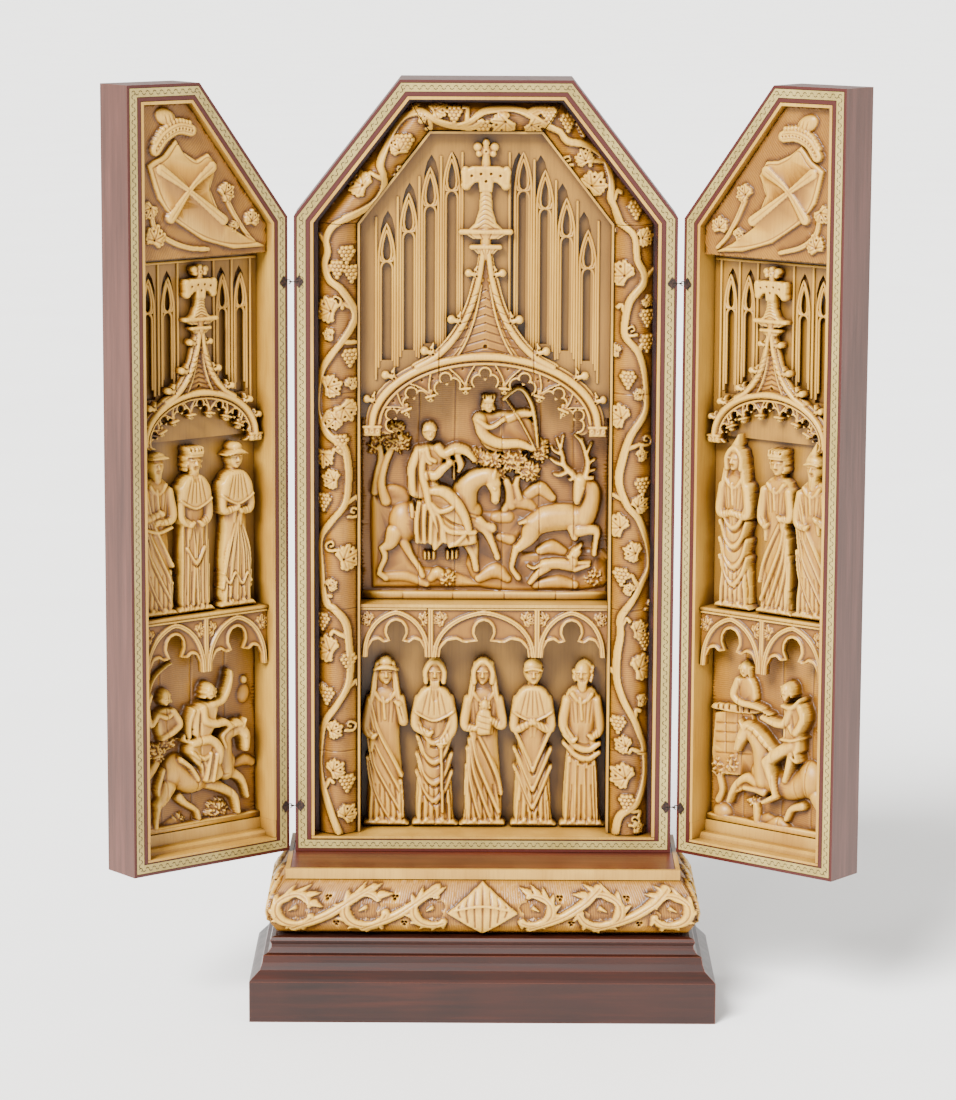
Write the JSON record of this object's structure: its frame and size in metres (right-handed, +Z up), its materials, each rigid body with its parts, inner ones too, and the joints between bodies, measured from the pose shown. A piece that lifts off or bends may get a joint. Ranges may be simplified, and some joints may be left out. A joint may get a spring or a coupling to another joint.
{
  "type": "triptych altarpiece",
  "caption": "Folding triptych altarpiece: a wooden case on a moulded foot with hinged wings, set with carved bone figures, reliefs, canopies and vine borders.",
  "frame": {"origin": "middle of the foot's underside", "axes": "+Z up, +X to the viewer's right, -Y towards the viewer"},
  "size_m": [0.4698, 0.1265, 0.586],
  "materials": {
    "carved_bone": "polished bone with brown patina in the recesses",
    "engraved_bone": "polished bone with dark engraved lines",
    "shell_wood": "stained and waxed, worn at the edges",
    "mahogany": "waxed",
    "dark_wood": "polished, worn at the edges",
    "hinge_iron": "dark wire"
  },
  "bodies": {
    "case": {"plinth": "dark_wood", "base_body": "mahogany", "cushion_front": "carved_bone", "cushion_right": "carved_bone", "cushion_left": "carved_bone", "cushion_fillet": "carved_bone", "case_shell": "shell_wood", "case_edging": "engraved_bone", "case_lining": "carved_bone", "case_floor": "carved_bone", "niche_lining": "carved_bone", "vine_right": "carved_bone", "vine_upper_right": "carved_bone", "vine_top": "carved_bone", "vine_upper_left": "carved_bone", "vine_left": "carved_bone", "tracery_panel": "carved_bone", "centre_canopy": "carved_bone", "hunt_relief": "carved_bone", "relief_shelf": "carved_bone", "arcade": "carved_bone", "figure_back_panel": "carved_bone", "figure_1": "carved_bone", "figure_2": "carved_bone", "figure_3": "carved_bone", "figure_4": "carved_bone", "figure_5": "carved_bone", "case_hinge_eye_lower_left": "hinge_iron", "case_hinge_eye_lower_right": "hinge_iron", "case_hinge_eye_upper_left": "hinge_iron", "case_hinge_eye_upper_right": "hinge_iron"},
    "left_wing": {"left_wing_shell": "shell_wood", "left_wing_edging": "engraved_bone", "left_wing_lining": "carved_bone", "left_wing_sill": "carved_bone", "left_wing_shield_panel": "carved_bone", "left_wing_tracery_panel": "carved_bone", "left_wing_canopy": "carved_bone", "left_wing_arcade": "carved_bone", "left_wing_rider_relief": "carved_bone", "left_wing_figure_1": "carved_bone", "left_wing_figure_2": "carved_bone", "left_wing_figure_3": "carved_bone", "left_wing_hinge_eye_lower": "hinge_iron", "left_wing_hinge_eye_upper": "hinge_iron"},
    "right_wing": {"right_wing_shell": "shell_wood", "right_wing_edging": "engraved_bone", "right_wing_lining": "carved_bone", "right_wing_sill": "carved_bone", "right_wing_shield_panel": "carved_bone", "right_wing_tracery_panel": "carved_bone", "right_wing_canopy": "carved_bone", "right_wing_arcade": "carved_bone", "right_wing_rider_relief": "carved_bone", "right_wing_figure_1": "carved_bone", "right_wing_figure_2": "carved_bone", "right_wing_figure_3": "carved_bone", "right_wing_hinge_eye_lower": "hinge_iron", "right_wing_hinge_eye_upper": "hinge_iron"}
  },
  "joints": [
    {"name": "left_wing_hinge", "type": "hinge", "parent": "case", "child": "left_wing", "pos_m": [-0.12185, 0.00775, 0.34], "axis": [0, 0, 1], "range_deg": [-39, 141]},
    {"name": "right_wing_hinge", "type": "hinge", "parent": "case", "child": "right_wing", "pos_m": [0.12185, 0.00775, 0.34], "axis": [0, 0, 1], "range_deg": [-141, 39]}
  ]
}
